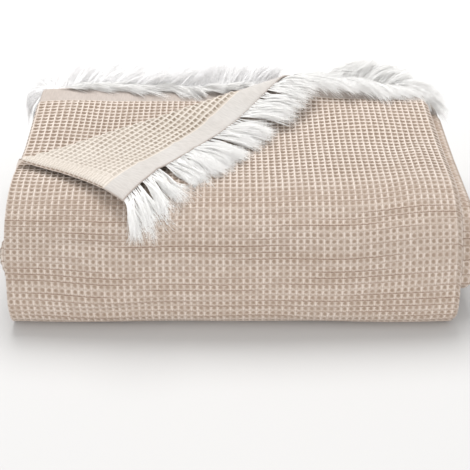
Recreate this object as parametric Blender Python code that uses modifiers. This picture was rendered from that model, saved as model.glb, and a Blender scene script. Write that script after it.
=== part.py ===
"""A fringed waffle weave cotton blanket, folded: its width in three layers, then its length in half
and in three, with the corner of its top layer turned over.

A place on the cloth is given by how far across it lies (from the free side of the top layer) and how
far along (from the upper end). fold_corner, ACROSS and ALONG turn that into a place in the room.
+X is the blanket's right, +Y its back and +Z up. The fronts of the plies face -Y. Lengths are metres,
but the tables are in millimetres.
"""

import math

import bmesh
import bpy
import numpy as np

MM = 0.001

# ---- driving sizes --------------------------------------------------------------------------------

CLOTH = 3.2 * MM                # thickness of the waffle cloth
LAYER = 6.9                     # mm from the middle of one layer to the next
HALF_WIDTH = 213.5 * MM         # of the folded blanket
EDGE_STEP = 0.5 * MM            # over which the cloth's heading at its edge is taken

FRINGE_LENGTH = 48 * MM
JOIN_GAP = 0.5 * MM             # between the cloth and its fringe
CREASE_GAP = 4.5 * MM           # the same along the crease, where both turn over
CREASE_FAN = 25 * MM            # how far from the crease the fringe leans its way
FRINGE_ROOT = 9 * MM            # how far out the comb is still one strip
FRINGE_THICK = 3 * MM
TOOTH_GAP = 10 * MM
TOOTH_PITCH = 42 * MM

# How far the tips of each fringe hang down.
UPPER_SAGS = (
    # across   down
    (0.0,       13.0),
    (35.0,       8.0),
    (70.0,       2.0),
    (105.0,     -2.0),
    (150.0,     -5.0),
    (205.0,     -6.0),
    (262.0,      0.0),
    (291.0,     11.0),
    (418.0,     11.0),
    (440.0,     16.0),
    (853.0,     16.0),
    (864.0,     14.0),
    (1270.0,    14.0),
)
LOWER_SAGS = (
    # across   down
    (0.0,      18.0),
    (1270.0,   18.0),
)

FLAP_SIDE = 147 * MM            # of the turned-over corner, along the free side
FLAP_END = 291 * MM             # and along the woven end
FLAP_ROLL = 4.9 * MM            # bend radius of its crease
FLAP_PULL = 9.7 * MM            # how much its corner is drawn back
PULL_REACH = 110 * MM           # how far from the crease the whole pull is reached
CREASE_LIFT = 14 * MM           # how far the crease springs up near the woven end
LIFT_SPREAD = 28 * MM           # beside the crease
LIFT_ALONG = 220 * MM           # from the woven end
LIFT_ACROSS = 107 * MM          # from the free side
BEND_STEPS = 4                  # flats in a half turn

CENTRE_X = 5.40 * MM            # the middle of the bounding box, in the tables' frame
CENTRE_Y = 157.25 * MM

# The width: a row for each corner of the section through the three layers of a ply.
ACROSS = (
    # name             x      out    bend radius
    ("free side",    -213.5,  LAYER,  0.0),
    ("right fold",    211.9,  LAYER,  LAYER),
    ("right fold",    211.9, -LAYER,  LAYER),
    ("left fold",    -211.9, -LAYER,  LAYER / 2),
    ("left fold",    -211.9,  0.0,    LAYER / 2),
    ("inner side",    197.0,  0.0,    0.0),
)

# The length: a row for each corner of the path that the middle layer takes, back and forth.
ALONG = (
    # name              y       z     bend radius
    ("upper end",      257.0, 121.5,   0.0),
    ("top rise",       150.0, 112.0, 240.0),
    ("shoulder",         4.0, 113.0,  74.0),
    ("front foot",       5.5,   8.5,  10.0),
    ("back foot",      270.0,   8.5,  28.0),
    ("back shoulder",  270.0,  75.0,  30.0),
    ("middle rise",    150.0,  70.6, 200.0),
    ("half fold",       70.0,  70.6,  10.3),
    ("half fold",       70.0,  49.9,  10.3),
    ("middle rise",    150.0,  49.9, 200.0),
    ("inner back",     249.0,  53.0,  11.0),
    ("inner back",     249.0,  30.2,  11.0),
    ("inner foot",      30.0,  29.2,  10.0),
    ("inner shoulder",  30.0,  88.5,  50.0),
    ("under rise",     160.0,  91.5, 240.0),
    ("lower end",      268.0,  99.5,   0.0),
)

# How far in front of the path's end each layer stops at the upper end.
END_SKEW = (
    # across   skew
    (0.0,      25.0),
    (410.0,    -2.0),
    (450.0,    -2.0),
    (640.0,    -7.0),
    (835.0,   -12.0),
    (885.0,   -12.0),
    (950.0,    -7.0),
    (1270.0,   -4.0),
)

# How far to the right each ply lies.
SWAY = (
    # along    sway
    (0.0,       0.0),
    (530.0,     0.0),
    (650.0,    -6.0),
    (1010.0,   -6.0),
    (1060.0,   18.0),
    (1530.0,   18.0),
)

# How far the left fold of the inner layers bulges out of the top ply.
LOBES = (
    # along    out
    (0.0,       7.0),
    (120.0,     4.0),
    (190.0,     0.0),
    (232.0,     0.0),
    (262.0,     8.0),
    (292.0,     2.0),
    (325.0,     0.0),
    (1530.0,    0.0),
)

STIFF_FROM = 165 * MM           # how far along the turned corner leaves the shoulder under it
STIFF_SWEEP = 380 * MM          # the larger, the less it leaves it
SKEW_FROM = 60 * MM             # how far along the skew of the upper end starts to fade
SKEW_FADE = 220 * MM            # and over which length
LIFT_EDGE = 60 * MM             # over which the crease's lift fades towards the right fold
LEFT_FOLD = 857 * MM            # where across the cloth the left fold lies
LOBE_SPREAD = 30 * MM           # of its bulges

FRONT_BOW = 9 * MM              # how far the ends of the front lie behind its middle
BOW_DEPTH = 170 * MM            # how far back the bow has gone
SIDE_DROP = 0.03                # share by which the stack is lower at its sides
FLAT_UP_TO = 20 * MM            # the height below which the plies lie flat and square
FLAT_FADE = 40 * MM

# How finely the cloth is divided.
LONGEST_RUN = 80 * MM
SHORTEST_RUN = 1 * MM
CHORD_ERROR = 0.9 * MM

# ---- the path of the cloth --------------------------------------------------------------------------


class Route:
    """A path of straight runs and round corners through the rows of a table, measured by its length."""

    def __init__(self, rows):
        points = [np.array(row[1:3]) * MM for row in rows]
        radii = [row[3] * MM for row in rows]
        self.pieces = []
        self.starts = [0.0]
        here = points[0]
        for before, corner, after, radius in zip(points, points[1:], points[2:], radii[1:]):
            into = (corner - before) / np.linalg.norm(corner - before)
            out = (after - corner) / np.linalg.norm(after - corner)
            turn = math.atan2(into[0] * out[1] - into[1] * out[0], into @ out)
            reach = radius * math.tan(abs(turn) / 2)
            bend_start = corner - reach * into
            self.add(here, into, np.linalg.norm(bend_start - here), 0.0)
            self.add(bend_start, into, radius * abs(turn), math.copysign(1 / radius, turn))
            here = corner + reach * out
        into = (points[-1] - here) / np.linalg.norm(points[-1] - here)
        self.add(here, into, np.linalg.norm(points[-1] - here), 0.0)
        self.length = self.starts[-1]

    def add(self, point, heading, length, bend):
        self.pieces.append((point[0], point[1], math.atan2(heading[1], heading[0]), bend))
        self.starts.append(self.starts[-1] + length)

    def at(self, distance):
        """Two coordinates and a heading. Past its ends the path runs straight on."""
        which = np.searchsorted(self.starts, distance, side="right") - 1
        which = np.clip(which, 0, len(self.pieces) - 1)
        a, b, heading, bend = np.moveaxis(np.array(self.pieces)[which], -1, 0)
        run = distance - np.array(self.starts)[which]
        turn = bend * run
        straight = bend == 0
        radius = 1 / np.where(straight, 1.0, bend)
        ahead = np.where(straight, run, radius * np.sin(turn))
        aside = np.where(straight, 0.0, radius * (1 - np.cos(turn)))
        return (
            a + ahead * np.cos(heading) - aside * np.sin(heading),
            b + ahead * np.sin(heading) + aside * np.cos(heading),
            heading + turn,
        )

    def stations(self, bundle):
        """Distances that split straight runs by length, and bends so that chords of the outermost of a
        bundle of layers stay near the true arc."""
        found = [0.0]
        for piece, start, end in zip(self.pieces, self.starts, self.starts[1:]):
            bend = abs(piece[3])
            if end - start < SHORTEST_RUN:
                continue
            step = LONGEST_RUN
            if bend:
                step = 2 * math.acos(1 - CHORD_ERROR / (1 / bend + bundle)) / bend
            count = math.ceil((end - start) / step)
            found.extend(np.linspace(start, end, count + 1)[1:])
        return np.array(found)


across_path = Route(ACROSS)
along_path = Route(ALONG)


def smooth(share):
    share = np.clip(share, 0.0, 1.0)
    return share * share * (3 - 2 * share)


def bump(distance, spread):
    return np.exp(-((distance / spread) ** 2))


def read_table(rows, at):
    """The table's value at each place, changing softly from row to row."""
    keys, values = np.array(rows).T * MM
    row = np.clip(np.searchsorted(keys, at, side="right") - 1, 0, len(rows) - 2)
    share = smooth((at - keys[row]) / (keys[row + 1] - keys[row]))
    return values[row] + share * (values[row + 1] - values[row])


def crease_axes():
    """The crease's direction on the cloth, and the direction from it to the corner."""
    slant = math.hypot(FLAP_SIDE, FLAP_END)
    return (FLAP_END / slant, -FLAP_SIDE / slant), (-FLAP_SIDE / slant, -FLAP_END / slant)


def fold_corner(across, along):
    """Rolls the corner over its crease: the place it then lies above, and how high over it."""
    (line_u, line_v), (corner_u, corner_v) = crease_axes()
    beside = across * line_u + (along - FLAP_SIDE) * line_v
    beyond = across * corner_u + (along - FLAP_SIDE) * corner_v
    half_turn = math.pi * FLAP_ROLL
    angle = np.clip(beyond, 0, half_turn) / FLAP_ROLL
    rolled = np.where(beyond < half_turn, FLAP_ROLL * np.sin(angle), half_turn - beyond)
    rolled = np.where(beyond < 0, beyond, rolled)
    height = FLAP_ROLL * (1 - np.cos(angle))
    turned = beyond > half_turn
    pull = np.where(turned, FLAP_PULL * smooth(beyond / PULL_REACH), 0.0)
    return (
        beside * line_u + rolled * corner_u,
        FLAP_SIDE + beside * line_v + rolled * corner_v - pull,
        height,
        turned,
    )


def crease_lift(across, along):
    """The crease springs up where it meets the woven end."""
    slant = math.hypot(FLAP_SIDE, FLAP_END)
    from_crease = (across * FLAP_SIDE + (along - FLAP_SIDE) * FLAP_END) / slant
    near_end = smooth(1 - np.clip(along, 0, None) / LIFT_ALONG) * smooth(across / LIFT_ACROSS)
    top_layer = smooth((across_path.starts[1] - across) / LIFT_EDGE)
    return CREASE_LIFT * bump(from_crease, LIFT_SPREAD) * near_end * top_layer


def shoulder_lift(along):
    """The turned corner is too stiff to follow the rounded shoulder all the way down."""
    past = np.clip(along - STIFF_FROM, 0, None)
    return past**2 / STIFF_SWEEP


def lay_unevenly(x, y, z):
    """The soft stack's front is bowed and its sides are lower."""
    side = x / HALF_WIDTH
    above_foot = smooth((z - FLAT_UP_TO) / FLAT_FADE)
    front = 1 - smooth(y / BOW_DEPTH)
    y = y + FRONT_BOW * side**2 * front * above_foot
    z = z - SIDE_DROP * side**4 * np.clip(z - FLAT_UP_TO, 0, None)
    return x, y, z


def cloth_at(across, along):
    """Room coordinates of a place on the middle of the cloth."""
    across, along, height, turned = fold_corner(np.asarray(across), np.asarray(along))
    x, out, _ = across_path.at(across)
    distance = along + read_table(END_SKEW, across) * (1 - smooth((along - SKEW_FROM) / SKEW_FADE))
    y, z, heading = along_path.at(distance)
    out = out + height + np.where(turned, shoulder_lift(distance), 0.0) + crease_lift(across, along)
    left_fold = bump(across - LEFT_FOLD, LOBE_SPREAD)
    x = x + read_table(SWAY, distance) - left_fold * read_table(LOBES, distance)
    x, y, z = lay_unevenly(x, y + out * np.sin(heading), z - out * np.cos(heading))
    return np.stack([x - CENTRE_X, y - CENTRE_Y, z], axis=-1)


# ---- Blender -----------------------------------------------------------------------------------------


def clear_scene():
    for obj in list(bpy.data.objects):
        bpy.data.objects.remove(obj, do_unlink=True)


def make_material(name, colour, roughness):
    material = bpy.data.materials.new(name)
    material.use_nodes = True
    shader = material.node_tree.nodes["Principled BSDF"]
    shader.inputs["Base Color"].default_value = (*colour, 1.0)
    shader.inputs["Roughness"].default_value = roughness
    shader.inputs["Metallic"].default_value = 0.0
    return material


def add_sheet(name, sheet, thickness, material, collection):
    """An object from a bmesh sheet, with the modifier that gives it its thickness to both sides."""
    bmesh.ops.recalc_face_normals(sheet, faces=sheet.faces)
    mesh = bpy.data.meshes.new(name)
    sheet.to_mesh(mesh)
    sheet.free()
    mesh.materials.append(material)
    obj = bpy.data.objects.new(name, mesh)
    collection.objects.link(obj)
    solidify = obj.modifiers.new("thickness", "SOLIDIFY")
    solidify.thickness = thickness
    solidify.offset = 0.0
    return solidify


def flat_sheet(across_stations, along_stations):
    """A flat grid whose x is the distance across the cloth and whose y is the distance along it."""
    sheet = bmesh.new()
    columns = len(across_stations) - 1
    rows = len(along_stations) - 1
    bmesh.ops.create_grid(sheet, x_segments=columns, y_segments=rows, size=0.5)
    for vert in sheet.verts:
        column = round((vert.co.x + 0.5) * columns)
        row = round((vert.co.y + 0.5) * rows)
        vert.co = (across_stations[column], along_stations[row], 0.0)
    return sheet


def cut_along_crease(sheet):
    """Splits the flat sheet where the turned corner starts to bend, at each bend, and where it ends."""
    _, (corner_u, corner_v) = crease_axes()
    for offset in np.linspace(0, math.pi * FLAP_ROLL, BEND_STEPS + 1):
        geometry = sheet.verts[:] + sheet.edges[:] + sheet.faces[:]
        bmesh.ops.bisect_plane(
            sheet,
            geom=geometry,
            dist=0.01 * MM,
            plane_co=(offset * corner_u, FLAP_SIDE + offset * corner_v, 0.0),
            plane_no=(corner_u, corner_v, 0.0),
        )


def make_blanket(material, collection):
    sheet = flat_sheet(across_path.stations(0.0), along_path.stations(LAYER * MM))
    cut_along_crease(sheet)
    bmesh.ops.triangulate(sheet, faces=[face for face in sheet.faces if len(face.verts) > 4])
    places = np.array([vert.co[:2] for vert in sheet.verts])
    for vert, point in zip(sheet.verts, cloth_at(places[:, 0], places[:, 1])):
        vert.co = point
    solidify = add_sheet("blanket", sheet, CLOTH, material, collection)
    solidify.use_even_offset = True


def crease_crossings():
    """Where the upper woven end crosses the lines along which the crease is divided."""
    _, (corner_u, _) = crease_axes()
    return FLAP_END + np.linspace(0, math.pi * FLAP_ROLL, BEND_STEPS + 1) / corner_u


def tooth_stations(edge):
    """The edge's own stations and the two sides of each tooth in its flat runs, and whether the comb
    has a tooth from each of them to the next."""
    sides = []
    for start, end in zip(edge, edge[1:]):
        if end - start < TOOTH_PITCH:
            continue
        count = round((end - start) / TOOTH_PITCH)
        pitch = (end - start) / count
        lefts = start + TOOTH_GAP / 2 + pitch * np.arange(count)
        sides.extend((left, left + pitch - TOOTH_GAP) for left in lefts)
    stations = np.unique(np.concatenate([edge, np.ravel(sides)]))
    lefts = {left for left, _ in sides}
    return stations, [station in lefts for station in stations[:-1]]


def make_fringe(name, edge, end, inward, gap, sags, material, collection):
    """One comb: a strip along a woven end with a row of teeth, running on from the cloth and sagging.
    For each station of the edge, inward tells which way the cloth lies and gap how far off it is."""
    base = cloth_at(edge, np.full(edge.shape, end))
    ahead = base - cloth_at(edge + inward[:, 0], end + inward[:, 1])
    ahead /= np.linalg.norm(ahead, axis=-1, keepdims=True)
    stations, is_tooth = tooth_stations(edge)
    base, ahead, gap = (
        np.stack([np.interp(stations, edge, column) for column in rows.T], axis=-1)
        for rows in (base, ahead, gap[:, None])
    )
    comb = bmesh.new()
    verts = []
    for share in (0.0, FRINGE_ROOT / FRINGE_LENGTH, 0.6, 1.0):
        points = base + ahead * np.maximum(gap, share * FRINGE_LENGTH)
        points[:, 2] -= read_table(sags, stations) * share**2
        verts.append([comb.verts.new(point) for point in points])
    for left, tooth in enumerate(is_tooth):
        right = left + 1
        for near, far in list(zip(verts, verts[1:]))[: 3 if tooth else 1]:
            comb.faces.new((near[left], near[right], far[right], far[left]))
    bmesh.ops.delete(comb, geom=[vert for vert in comb.verts if not vert.link_faces], context="VERTS")
    add_sheet(name, comb, FRINGE_THICK, material, collection)


def build():
    clear_scene()
    collection = bpy.data.collections.new("folded_waffle_blanket")
    bpy.context.scene.collection.children.link(collection)
    waffle = make_material("waffle_cotton", (0.62, 0.50, 0.39), 0.9)
    yarn = make_material("fringe_cotton", (0.86, 0.85, 0.83), 0.9)
    make_blanket(waffle, collection)
    edge = across_path.stations(0.0)
    along_cloth = np.array((0.0, EDGE_STEP))
    lower_inward = np.tile(-along_cloth, (len(edge), 1))
    gap = np.full(edge.shape, JOIN_GAP)
    make_fringe("fringe_lower", edge, along_path.length, lower_inward, gap, LOWER_SAGS, yarn, collection)
    crossings = crease_crossings()
    edge = np.unique(np.concatenate([edge, crossings]))
    along_crease = -EDGE_STEP * np.array(crease_axes()[0])
    fan = bump(edge - crossings.mean(), CREASE_FAN)
    upper_inward = fan[:, None] * along_crease + (1 - fan[:, None]) * along_cloth
    gap = JOIN_GAP + (CREASE_GAP - JOIN_GAP) * fan
    make_fringe("fringe_upper", edge, 0.0, upper_inward, gap, UPPER_SAGS, yarn, collection)


build()
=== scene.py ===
"""Looks of the folded waffle weave blanket: the woven cloth with its relief, its bands and its fringes."""

import math

import bpy
import numpy as np
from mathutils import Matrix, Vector
from mathutils.bvhtree import BVHTree


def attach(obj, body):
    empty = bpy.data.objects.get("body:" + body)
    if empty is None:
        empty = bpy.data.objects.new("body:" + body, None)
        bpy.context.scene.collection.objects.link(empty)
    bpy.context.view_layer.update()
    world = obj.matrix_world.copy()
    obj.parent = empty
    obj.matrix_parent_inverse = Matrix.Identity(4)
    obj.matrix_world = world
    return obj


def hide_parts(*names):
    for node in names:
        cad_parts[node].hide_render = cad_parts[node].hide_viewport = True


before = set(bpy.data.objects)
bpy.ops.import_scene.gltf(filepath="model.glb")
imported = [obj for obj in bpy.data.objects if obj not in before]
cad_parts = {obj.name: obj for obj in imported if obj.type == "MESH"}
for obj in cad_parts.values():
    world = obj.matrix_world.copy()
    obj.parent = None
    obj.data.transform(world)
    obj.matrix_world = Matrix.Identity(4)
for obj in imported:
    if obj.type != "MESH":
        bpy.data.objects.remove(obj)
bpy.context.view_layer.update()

MM = 0.001

# ---- the lie of the cloth, with tables in millimetres ----------------

LAYER = 6.9  # mm from the middle of one layer to the next
HALF_WIDTH = 213.5 * MM
BAND = 26 * MM  # plain woven end

FLAP_SIDE = 147 * MM  # of the turned-over corner, along the free side
FLAP_END = 291 * MM  # and along the woven end
FLAP_ROLL = 4.9 * MM  # bend radius of its crease
FLAP_PULL = 9.7 * MM  # how much its corner is drawn back
PULL_REACH = 110 * MM  # how far from the crease the whole pull is reached
CREASE_LIFT = 14 * MM  # how far the crease springs up near the woven end
LIFT_SPREAD = 28 * MM  # beside the crease
LIFT_ALONG = 220 * MM  # from the woven end
LIFT_ACROSS = 107 * MM  # from the free side

CENTRE_X = 5.40 * MM  # the middle of the bounding box, in the tables' frame
CENTRE_Y = 157.25 * MM

# The width: the corners of the section through the three layers of a ply, as x, out and bend radius.
ACROSS = (
    ("free side",  -213.5, LAYER,  0.0),
    ("right fold", 211.9,  LAYER,  LAYER),
    ("right fold", 211.9,  -LAYER, LAYER),
    ("left fold",  -211.9, -LAYER, LAYER / 2),
    ("left fold",  -211.9, 0.0,    LAYER / 2),
    ("inner side", 197.0,  0.0,    0.0),
)

# The length: the corners of the path that the middle layer takes, as y, z and bend radius.
ALONG = (
    ("upper end",      257.0,  121.5,  0.0),
    ("top rise",       150.0,  112.0,  240.0),
    ("shoulder",       4.0,    113.0,  74.0),
    ("front foot",     5.5,    8.5,    10.0),
    ("back foot",      270.0,  8.5,    28.0),
    ("back shoulder",  270.0,  75.0,   30.0),
    ("middle rise",    150.0,  70.6,   200.0),
    ("half fold",      70.0,   70.6,   10.3),
    ("half fold",      70.0,   49.9,   10.3),
    ("middle rise",    150.0,  49.9,   200.0),
    ("inner back",     249.0,  53.0,   11.0),
    ("inner back",     249.0,  30.2,   11.0),
    ("inner foot",     30.0,   29.2,   10.0),
    ("inner shoulder", 30.0,   88.5,   50.0),
    ("under rise",     160.0,  91.5,   240.0),
    ("lower end",      268.0,  99.5,   0.0),
)

# How far in front of the path's end each layer stops at the upper end.
END_SKEW = (
    # across skew
    (0,    25),
    (410,  -2),
    (450,  -2),
    (640,  -7),
    (835,  -12),
    (885,  -12),
    (950,  -7),
    (1270, -4),
)

# How far to the right each ply lies.
SWAY = (
    # along sway
    (0,    0),
    (530,  0),
    (650,  -6),
    (1010, -6),
    (1060, 18),
    (1530, 18),
)

# How far the left fold of the inner layers bulges out of the top ply.
LOBES = (
    # along out
    (0,    7),
    (120,  4),
    (190,  0),
    (232,  0),
    (262,  8),
    (292,  2),
    (325,  0),
    (1530, 0),
)

STIFF_FROM = 165 * MM  # how far along the turned corner leaves the shoulder under it
STIFF_SWEEP = 380 * MM  # the larger, the less it leaves it
SKEW_FROM = 60 * MM  # how far along the skew of the upper end starts to fade
SKEW_FADE = 220 * MM  # and over which length
LIFT_EDGE = 60 * MM  # over which the crease's lift fades towards the right fold
LEFT_FOLD = 857 * MM  # where across the cloth the left fold lies
LOBE_SPREAD = 30 * MM  # of its bulges

FRONT_BOW = 9 * MM  # how far the ends of the front lie behind its middle
BOW_DEPTH = 170 * MM  # how far back the bow has gone
SIDE_DROP = 0.03  # share by which the stack is lower at its sides
FLAT_UP_TO = 20 * MM  # the height below which the plies lie flat and square
FLAT_FADE = 40 * MM


class Route:
    """A path of straight runs and round corners through the rows of a table, measured by its length."""

    def __init__(self, rows):
        points = [np.array(row[1:3]) * MM for row in rows]
        radii = [row[3] * MM for row in rows]
        self.pieces = []
        self.starts = [0.0]
        here = points[0]
        for before, corner, after, radius in zip(points, points[1:], points[2:], radii[1:]):
            into = (corner - before) / np.linalg.norm(corner - before)
            out = (after - corner) / np.linalg.norm(after - corner)
            turn = math.atan2(into[0] * out[1] - into[1] * out[0], into @ out)
            reach = radius * math.tan(abs(turn) / 2)
            bend_start = corner - reach * into
            self.add(here, into, np.linalg.norm(bend_start - here), 0.0)
            self.add(bend_start, into, radius * abs(turn), math.copysign(1 / radius, turn))
            here = corner + reach * out
        into = (points[-1] - here) / np.linalg.norm(points[-1] - here)
        self.add(here, into, np.linalg.norm(points[-1] - here), 0.0)
        self.length = self.starts[-1]

    def add(self, point, heading, length, bend):
        self.pieces.append((point[0], point[1], math.atan2(heading[1], heading[0]), bend))
        self.starts.append(self.starts[-1] + length)

    def at(self, distance):
        """Two coordinates and a heading. Past its ends the path runs straight on."""
        which = np.searchsorted(self.starts, distance, side="right") - 1
        which = np.clip(which, 0, len(self.pieces) - 1)
        a, b, heading, bend = np.moveaxis(np.array(self.pieces)[which], -1, 0)
        run = distance - np.array(self.starts)[which]
        turn = bend * run
        straight = bend == 0
        radius = 1 / np.where(straight, 1.0, bend)
        ahead = np.where(straight, run, radius * np.sin(turn))
        aside = np.where(straight, 0.0, radius * (1 - np.cos(turn)))
        return (
            a + ahead * np.cos(heading) - aside * np.sin(heading),
            b + ahead * np.sin(heading) + aside * np.cos(heading),
            heading + turn,
        )

    def turned_at(self, distance):
        """How far the heading has turned since the start."""
        lengths = np.diff(self.starts)
        turns = np.concatenate([[0.0], np.cumsum([piece[3] for piece in self.pieces] * lengths)])
        return np.interp(distance, self.starts, turns)


across_path = Route(ACROSS)
along_path = Route(ALONG)


def smooth(share):
    share = np.clip(share, 0.0, 1.0)
    return share * share * (3 - 2 * share)


def bump(distance, spread):
    return np.exp(-((distance / spread) ** 2))


def read_table(rows, at):
    """The table's value at each place, changing softly from row to row."""
    keys, values = np.array(rows).T * MM
    row = np.clip(np.searchsorted(keys, at, side="right") - 1, 0, len(rows) - 2)
    share = smooth((at - keys[row]) / (keys[row + 1] - keys[row]))
    return values[row] + share * (values[row + 1] - values[row])


def crease_axes():
    """The crease's direction on the cloth, and the direction from it to the corner."""
    slant = math.hypot(FLAP_SIDE, FLAP_END)
    return (FLAP_END / slant, -FLAP_SIDE / slant), (-FLAP_SIDE / slant, -FLAP_END / slant)


def fold_corner(across, along):
    """Rolls the corner over its crease: the place it then lies above, and how high over it."""
    (line_u, line_v), (corner_u, corner_v) = crease_axes()
    beside = across * line_u + (along - FLAP_SIDE) * line_v
    beyond = across * corner_u + (along - FLAP_SIDE) * corner_v
    half_turn = math.pi * FLAP_ROLL
    angle = np.clip(beyond, 0, half_turn) / FLAP_ROLL
    rolled = np.where(beyond < half_turn, FLAP_ROLL * np.sin(angle), half_turn - beyond)
    rolled = np.where(beyond < 0, beyond, rolled)
    height = FLAP_ROLL * (1 - np.cos(angle))
    turned = beyond > half_turn
    pull = np.where(turned, FLAP_PULL * smooth(beyond / PULL_REACH), 0.0)
    return (
        beside * line_u + rolled * corner_u,
        FLAP_SIDE + beside * line_v + rolled * corner_v - pull,
        height,
        turned,
    )


def crease_lift(across, along):
    """The crease springs up where it meets the woven end."""
    slant = math.hypot(FLAP_SIDE, FLAP_END)
    from_crease = (across * FLAP_SIDE + (along - FLAP_SIDE) * FLAP_END) / slant
    near_end = smooth(1 - np.clip(along, 0, None) / LIFT_ALONG) * smooth(across / LIFT_ACROSS)
    top_layer = smooth((across_path.starts[1] - across) / LIFT_EDGE)
    return CREASE_LIFT * bump(from_crease, LIFT_SPREAD) * near_end * top_layer


def shoulder_lift(along):
    """The turned corner is too stiff to follow the rounded shoulder all the way down."""
    past = np.clip(along - STIFF_FROM, 0, None)
    return past**2 / STIFF_SWEEP


def lay_unevenly(x, y, z):
    """The soft stack's front is bowed and its sides are lower."""
    side = x / HALF_WIDTH
    above_foot = smooth((z - FLAT_UP_TO) / FLAT_FADE)
    front = 1 - smooth(y / BOW_DEPTH)
    y = y + FRONT_BOW * side**2 * front * above_foot
    z = z - SIDE_DROP * side**4 * np.clip(z - FLAT_UP_TO, 0, None)
    return x, y, z


TOP_LAYER = across_path.starts[1]
WIDTH = across_path.length
LENGTH = along_path.length


# ---- unevenness of the cloth -----------------------------------------

# Soft ridges and troughs on the top layer, and how far its face stands proud there.
WRINKLES = (
    # across, along, half length, half width, turn in degrees, height
    (60,  246,  75,  5,  -4, -1.3),
    (150, 253,  90,  6,   3, -1.0),
    (330, 225,  80,  6,   4, -1.0),
    (90,  296,  90,  6,  -5,  1.8),
    (110, 308,  80,  5,  -5, -1.5),
    (300, 292, 110,  6,   2, -1.2),
    (240, 272, 120,  7,  -1, -1.0),
    (350,  75,  60, 16,  30,  1.2),
    (385, 110,  40, 14, -60, -1.2),
    (400, 150,  40, 10,  80,  1.4),
    (270, 170,  90, 18,  12, -1.0),
    (385, 205,  26, 12,  70,  1.4),
    (40,  215,  40, 14, -30,  1.2),
    (48,   14,  24,  4,  88, -1.7),
    (102,  14,  22,  4,  96, -1.6),
    (158,  14,  22,  4,  84, -1.6),
)


def wrinkles(across, along):
    height = np.zeros(np.broadcast(across, along).shape)
    for middle_u, middle_v, half_length, half_width, turn, size in WRINKLES:
        turn = math.radians(turn)
        du = across - middle_u * MM
        dv = along - middle_v * MM
        lengthwise = du * math.cos(turn) + dv * math.sin(turn)
        sidewise = dv * math.cos(turn) - du * math.sin(turn)
        height += size * MM * bump(lengthwise, half_length * MM) * bump(sidewise, half_width * MM)
    return height


ROW_RISE = 4.0 * MM  # by which the front's rows rise at its right end
RISE_ACROSS = 425 * MM
RISE_ALONG = 240 * MM


def wobble(across, along):
    """How far the rows of the weave stray from straight."""
    waves = 0.8 * np.sin(across / (37 * MM) + 1.3 * np.sin(along / (61 * MM)))
    waves = waves + 0.5 * np.sin(across / (17 * MM) + along / (43 * MM) + 2.0)
    rise = bump(across - RISE_ACROSS, 80 * MM) * bump(along - RISE_ALONG, 90 * MM)
    return MM * waves - ROW_RISE * rise


def swell(across, along):
    """Slow unevenness that every layer shares."""
    return MM * (
        0.5 * np.sin(across / (52 * MM) + 0.6) * np.sin(along / (47 * MM) + 1.0)
        + 0.35 * np.sin(across / (23 * MM) + along / (70 * MM))
    )


EDGE_CURL = 2.6 * MM  # how far the turned corner's side edge curls down
CURL_REACH = 13 * MM  # from that edge
CURL_AT_ENDS = 0.35  # share of it at the woven end and at the crease
CURL_GROWS = 50 * MM  # from the woven end
CURL_FADES = 60 * MM  # towards the crease


def edge_curl(across, along, turned):
    near_side = np.clip(1 - across / CURL_REACH, 0, 1) ** 2
    share = smooth(along / CURL_GROWS) * smooth((FLAP_SIDE - along) / CURL_FADES)
    return np.where(turned, -EDGE_CURL * near_side * (CURL_AT_ENDS + (1 - CURL_AT_ENDS) * share), 0.0)


WRINKLED = TOP_LAYER + 10 * MM  # the wrinkles end past the right fold
UNEVEN_FADE = 30 * MM  # over which the even bands pass into the uneven weave


def cloth_at(across, along):
    """Room coordinates of a place on the middle of the cloth."""
    own_across, own_along = across, along
    woven = smooth((along - BAND) / UNEVEN_FADE) * smooth((LENGTH - BAND - along) / UNEVEN_FADE)
    uneven = np.where(across < WRINKLED, wrinkles(across, along), 0.0)
    uneven = uneven + swell(across, along) * woven
    along = along + wobble(across, along) * woven
    across, along, height, turned = fold_corner(across, along)
    x, out, _ = across_path.at(across)
    distance = along + read_table(END_SKEW, across) * (1 - smooth((along - SKEW_FROM) / SKEW_FADE))
    y, z, heading = along_path.at(distance)
    out = out + height + np.where(turned, shoulder_lift(distance), 0.0) + crease_lift(across, along)
    out = out + np.where(turned, -uneven, uneven) + edge_curl(own_across, own_along, turned)
    left_fold = bump(across - LEFT_FOLD, LOBE_SPREAD)
    x = x + read_table(SWAY, distance) - left_fold * read_table(LOBES, distance)
    x, y, z = lay_unevenly(x, y + out * np.sin(heading), z - out * np.cos(heading))
    return np.stack([x - CENTRE_X, y - CENTRE_Y, z], axis=-1)


# ---- the woven sheet -------------------------------------------------

CELLS_ACROSS = 206
CELLS_ALONG = 239
CELL_U = WIDTH / CELLS_ACROSS
CELL_V = (LENGTH - 2 * BAND) / CELLS_ALONG
HALF_CLOTH = 1.55 * MM  # half the thickness, halfway between ridges and pits
RELIEF = 0.8 * MM  # how far the ridges stand above that, and the pits lie below
HALF_BAND = 1.0 * MM
THICKENING = 2 * MM  # from the band into the waffle weave
RIM = 1.0 * MM  # how far the round edge stands out
NORMAL_STEP = 0.4 * MM  # between the places that give the cloth's directions
SLIP_FROM = 700 * MM  # the layers' slip over the bends fades out from here
SLIP_FADE = 250 * MM


def spaced(*spans):
    """Cell counts from spans of (from, to, step)."""
    return np.unique(np.round(np.concatenate([np.arange(a, b + 1e-6, step) for a, b, step in spans]), 4))


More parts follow.
